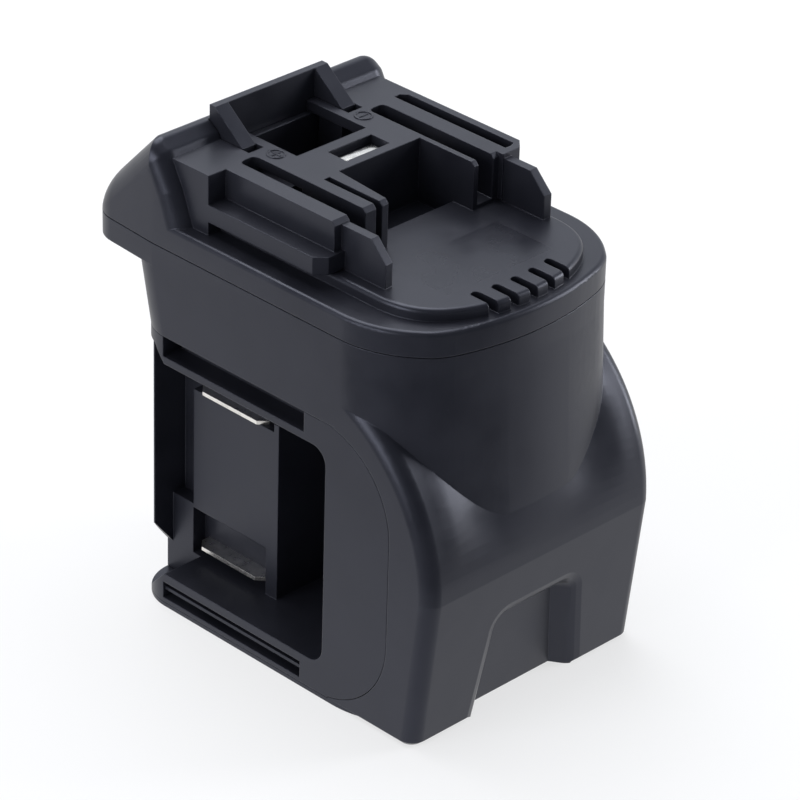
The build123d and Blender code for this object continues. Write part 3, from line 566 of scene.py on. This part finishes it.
def bowed_copy(node, name):
    """A copy of a CAD node, sliced upright across its front and bowed there, to stand for it."""
    shape, mesh = welded_copy(node)
    for step in range(round(2 * BOW_SIDE[1] / SLICE) + 1):
        front = [face for face in shape.faces if in_front(face)]
        edges = list(dict.fromkeys(edge for face in front for edge in face.edges))
        verts = list(dict.fromkeys(vert for face in front for vert in face.verts))
        place = (-BOW_SIDE[1] + step * SLICE, 0, 0)
        bmesh.ops.bisect_plane(
            shape, geom=front + edges + verts, plane_co=place, plane_no=(1, 0, 0), dist=WELD
        )
    for vert in shape.verts:
        aside, behind = fade(abs(vert.co.x), *BOW_SIDE), fade(vert.co.y, *BOW_DEPTH)
        share = fade(vert.co.z, *BOW_FADE) * (1 - aside) * (1 - behind)
        vert.co.y += share * front_shift(vert.co.x)
    return as_object(name, shape, mesh)


def carve(piece, cutter, operation):
    """Cuts a piece with a closed cutter, applies the result and removes the cutter."""
    modifier = piece.modifiers.new("carve", "BOOLEAN")
    modifier.operation = operation
    modifier.solver = "EXACT"
    modifier.object = cutter
    bpy.context.view_layer.update()
    evaluated = piece.evaluated_get(bpy.context.evaluated_depsgraph_get())
    result = bpy.data.meshes.new_from_object(evaluated)
    piece.modifiers.clear()
    piece.data = result
    bpy.data.objects.remove(cutter)


def corner_arc(before, corner, after, radius, steps):
    """Points round a plan corner between two straight sides."""
    inward, outward = (before - corner).normalized(), (after - corner).normalized()
    half_angle = inward.angle(outward) / 2
    centre = corner + (inward + outward).normalized() * radius / math.sin(half_angle)
    start = corner + inward * radius / math.tan(half_angle) - centre
    sweep = math.pi - 2 * half_angle
    if inward.cross(outward) >= 0:
        sweep = -sweep
    turns = [Matrix.Rotation(sweep * step / steps, 2) for step in range(steps + 1)]
    return [centre + turn @ start for turn in turns]


def nose_envelope():
    """What the soft nose keeps: its plan up to its rear slope, with a rounded edge between them."""
    slope = (NOSE_CREST[1] - NOSE_TAIL[1]) / (NOSE_CREST[0] - NOSE_TAIL[0])
    side, tip = HALF_WIDTH + SKIN_GAP, NOSE_TIP + SKIN_GAP
    front = Vector((side, -2 * NOSE_TIP))
    root = Vector((side, NOSE_ROOT))
    corner = Vector((side - NOSE_TAPER, tip))
    opposite = Vector((-corner.x, tip))
    right = [front, root] + corner_arc(root, corner, opposite, NOSE_CORNER, NOSE_STEPS)
    plan = right + [Vector((-point.x, point.y)) for point in reversed(right)]
    heights = [NOSE_TAIL[1] + slope * (point.y - NOSE_TAIL[0]) - SKIN_GAP for point in plan]
    shape = bmesh.new()
    low = [shape.verts.new((*point, -NOSE_TIP)) for point in plan]
    high = [shape.verts.new((*point, height)) for point, height in zip(plan, heights)]
    shape.faces.new(low)
    shape.faces.new(high)
    join_rings(shape, low, high)
    bmesh.ops.recalc_face_normals(shape, faces=shape.faces)
    top = [edge for edge in shape.edges if edge.verts[0] in high and edge.verts[1] in high]
    bmesh.ops.bevel(
        shape, geom=top, offset=NOSE_ROUND, segments=NOSE_STEPS, profile=EDGE_PROFILE,
        affect="EDGES", clamp_overlap=False,
    )
    return as_object("nose envelope", shape)


def notch_outline(grow):
    """The notch's outline on the toe, as places across and up the lean, grown on all sides."""
    turn = NOTCH_CORNER + grow
    points = [(NOTCH_FOOT + grow, -NOTCH_TOP), (NOTCH_FOOT + grow, 0.0)]
    for step in range(NOTCH_STEPS + 1):
        angle = math.pi / 2 * step / NOTCH_STEPS
        across = NOTCH_HEAD + grow - turn + turn * math.cos(angle)
        points.append((across, NOTCH_TOP + grow - turn + turn * math.sin(angle)))
    return points + [(-across, up) for across, up in reversed(points)]


def notch_cutter():
    """The drafted notch with a rounded lip, in rings from inside the toe to well outside it."""
    lean = Vector((0, TOE_CREASE[0] - TOE_FOOT, TOE_CREASE[1])).normalized()
    outward = Vector((0, -lean.z, lean.y))
    levels = [(-NOTCH_DEPTH, 0.0)]
    for step in range(LIP_STEPS + 1):
        depth = NOTCH_LIP * (1 - step / LIP_STEPS)
        flare = NOTCH_LIP - math.sqrt(max(0.0, NOTCH_LIP**2 - (NOTCH_LIP - depth) ** 2))
        levels.append((-depth, flare))
    levels.append((2 * NOTCH_LIP, NOTCH_LIP))
    shape = bmesh.new()
    rings = []
    for out, flare in levels:
        outline = notch_outline(min(out, 0.0) * NOTCH_DRAFT_SHARE + flare)
        origin = Vector((0, TOE_FOOT, 0)) + outward * out
        rings.append([shape.verts.new(origin + Vector((u, 0, 0)) + lean * w) for u, w in outline])
    for inner, outer in zip(rings, rings[1:]):
        join_rings(shape, inner, outer)
    shape.faces.new(rings[0])
    shape.faces.new(rings[-1])
    return as_object("notch cutter", shape)


def make_shells():
    """The housing and the cover with their rounder front, softer notch and softer nose."""
    housing = bowed_copy("main_housing", "housing_shell")
    carve(housing, notch_cutter(), "DIFFERENCE")
    housing_plastic = moulded_plastic("housing plastic", HOUSING_ROUGHNESS)
    finish_stand_in(housing, housing_plastic, "main_housing")
    cover = bowed_copy("top_cover", "cover_shell")
    carve(cover, nose_envelope(), "INTERSECT")
    cover_plastic = moulded_plastic("cover plastic", COVER_ROUGHNESS, BARE_PLATE)
    finish_stand_in(cover, cover_plastic, "top_cover")


def make_coils():
    """The coils, as welded copies of the springs, which stand in for them."""
    for side in ("left", "right"):
        node = f"{side}_latch_spring"
        piece = as_object(f"{side}_latch_coil", *welded_copy(node))
        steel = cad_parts[node].data.materials[0]
        finish_stand_in(piece, steel, node, COIL_SHARP)
        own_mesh(piece)


def make_latch_ledge():
    """The ledge across the front of the hook, just under the deck."""
    low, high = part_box("release_latch")
    face = HOOK_REAR - HOOK_WALL
    start = (-LEDGE_HALF, face - LEDGE_DEPTH, low[2] + LATCH_BASE)
    end = (LEDGE_HALF, face + SKIN_GAP, high[2] - HOOK_RISE - LEDGE_DROP)
    shape = bmesh.new()
    add_box(shape, start, end, LEDGE_EDGE, LEDGE_STEPS)
    made = moulded_plastic("ledge plastic", LATCH_ROUGHNESS)
    make_piece("latch_ledge", shape, made, "latch")


def make_mark(name, place, upright):
    """A raised ring with a minus in it, or a plus where it has an upright stroke."""
    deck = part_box("release_latch")[1][2] - HOOK_RISE
    low, high = deck - MARK_RISE, deck + MARK_RISE
    inner = MARK_RING - MARK_STROKE
    angles = [math.tau * step / MARK_STEPS for step in range(MARK_STEPS)]
    shape = bmesh.new()
    rings = []
    for radius, height in ((MARK_RING, low), (MARK_RING, high), (inner, high), (inner, low)):
        turn = [(place[0] + radius * math.cos(a), place[1] + radius * math.sin(a)) for a in angles]
        rings.append([shape.verts.new((*point, height)) for point in turn])
    for first, second in zip(rings, rings[1:] + rings[:1]):
        join_rings(shape, first, second)
    reach, half = MARK_REACH_SHARE * MARK_RING, MARK_STROKE / 2
    strokes = [(reach, half)] + ([(half, reach)] if upright else [])
    for u, w in strokes:
        start, end = (place[0] - u, place[1] - w, low), (place[0] + u, place[1] + w, high)
        add_box(shape, start, end, MARK_RISE / 2, STROKE_STEPS)
    make_piece(name, shape, moulded_plastic("mark plastic", MARK_ROUGHNESS))


def make_contact():
    """The bright folded bar that shows in the deck's window, on its leg."""
    foot, top = (corner[2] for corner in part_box("deck_contact"))
    start, end = CONTACT_BAR
    shape = bmesh.new()
    add_box(shape, (*start, top - BAR_THICKNESS), (*end, top), BAR_EDGE, BAR_STEPS)
    start, end = CONTACT_LEG
    add_box(shape, (*start, foot), (*end, top - BAR_THICKNESS / 2), LEG_EDGE, LEG_STEPS)
    made = plated_metal("bright contact", NICKEL, CONTACT_ROUGHNESS)
    piece = make_piece("contact_bar", shape, made)
    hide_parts("deck_contact")


def set_world():
    """White to the camera, an even fill on the object, and reflections that are dark in front."""
    world = bpy.data.worlds.new("studio")
    world.use_nodes = True
    tree = world.node_tree
    background = tree.nodes["Background"]
    path = tree.nodes.new("ShaderNodeLightPath")
    camera_ray = path.outputs["Is Camera Ray"]
    colour = blend_colours(tree, camera_ray, WORLD_COLOUR, (1, 1, 1))
    tree.links.new(colour, background.inputs["Color"])
    direction = tree.nodes.new("ShaderNodeTexCoord").outputs["Generated"]
    facing = measure(tree, "DOT_PRODUCT", direction, DARK_SIDE)
    mirrored = remap(tree, facing, WORLD_TURN, WORLD_BACK, WORLD_FRONT)
    beyond_fill = combine(tree, "SUBTRACT", mirrored, WORLD_FILL)
    glossy = combine(tree, "MULTIPLY", path.outputs["Is Glossy Ray"], beyond_fill)
    lit = combine(tree, "ADD", glossy, WORLD_FILL)
    strength = combine(tree, "MAXIMUM", lit, camera_ray)
    tree.links.new(strength, background.inputs["Strength"])
    bpy.context.scene.world = world


def floor_in_reflections(tree, place):
    """How bright the floor is to reflections: full by the object and behind it, dim in front."""
    ahead = remap(tree, measure(tree, "DOT_PRODUCT", place, DIM_SIDE), DIM_AHEAD, 0.0, 1.0)
    away = remap(tree, measure(tree, "LENGTH", place), DIM_REACH, 0.0, 1.0)
    dimmed = combine(tree, "MULTIPLY", ahead, away)
    return remap(tree, dimmed, (0.0, 1.0), FLOOR_GLOSS, FLOOR_DIM)


def set_floor():
    """A wide pale floor that glows to the camera and still takes the object's shadow."""
    mesh = bpy.data.meshes.new("floor")
    reach = STAGE_SIZE / 2
    corners = [(-reach, -reach, 0), (reach, -reach, 0), (reach, reach, 0), (-reach, reach, 0)]
    mesh.from_pydata(corners, [], [(0, 1, 2, 3)])
    made, tree, shader, place = material("paper floor")
    shader.inputs["Base Color"].default_value = (*FLOOR, 1)
    shader.inputs["Roughness"].default_value = FLOOR_ROUGHNESS
    glow = tree.nodes.new("ShaderNodeEmission")
    mixed = tree.nodes.new("ShaderNodeMixShader")
    rays = tree.nodes.new("ShaderNodeLightPath").outputs
    direct = combine(tree, "MAXIMUM", rays["Is Camera Ray"], rays["Is Transmission Ray"])
    glossy = rays["Is Glossy Ray"]
    glowing = combine(tree, "MULTIPLY", direct, FLOOR_GLOW)
    tree.links.new(combine(tree, "MAXIMUM", glowing, glossy), mixed.inputs["Fac"])
    reflected = combine(tree, "MULTIPLY", glossy, floor_in_reflections(tree, place))
    tree.links.new(combine(tree, "MAXIMUM", direct, reflected), glow.inputs["Strength"])
    tree.links.new(shader.outputs["BSDF"], mixed.inputs[1])
    tree.links.new(glow.outputs["Emission"], mixed.inputs[2])
    tree.links.new(mixed.outputs["Shader"], tree.nodes["Material Output"].inputs["Surface"])
    mesh.materials.append(made)
    in_scene("floor", mesh)


def set_lights():
    """A broad top light, a side light for the bay and a light from the right, as softboxes."""
    for name, (place, size, watts) in LAMPS.items():
        lamp = bpy.data.lights.new(name, "AREA")
        lamp.shape = "RECTANGLE"
        lamp.size, lamp.size_y = size
        lamp.energy = watts
        holder = in_scene(name, lamp)
        holder.location = place
        aim = Vector(LAMP_TARGET) - Vector(place)
        holder.rotation_euler = aim.to_track_quat("-Z", "Y").to_euler()


def set_camera():
    """The camera at the photograph's angle, with its slight roll."""
    data = bpy.data.cameras.new("camera")
    data.sensor_width = SENSOR
    data.lens = LENS
    camera = in_scene("camera", data)
    turn = Matrix.Rotation(CAMERA_AZIMUTH, 3, "Z")
    tilt = Matrix.Rotation(math.pi / 2 - CAMERA_ELEVATION, 3, "X")
    roll = Matrix.Rotation(CAMERA_ROLL, 3, "Z")
    camera.rotation_euler = (turn @ tilt @ roll).to_euler()
    camera.location = CAMERA_PLACE
    bpy.context.scene.camera = camera


dress_frame()
make_shells()
make_coils()
make_latch_ledge()
make_mark("plus_mark", PLUS_PLACE, True)
make_mark("minus_mark", MINUS_PLACE, False)
make_contact()
set_world()
set_floor()
set_lights()
set_camera()
bpy.context.scene.view_settings.view_transform = "Standard"
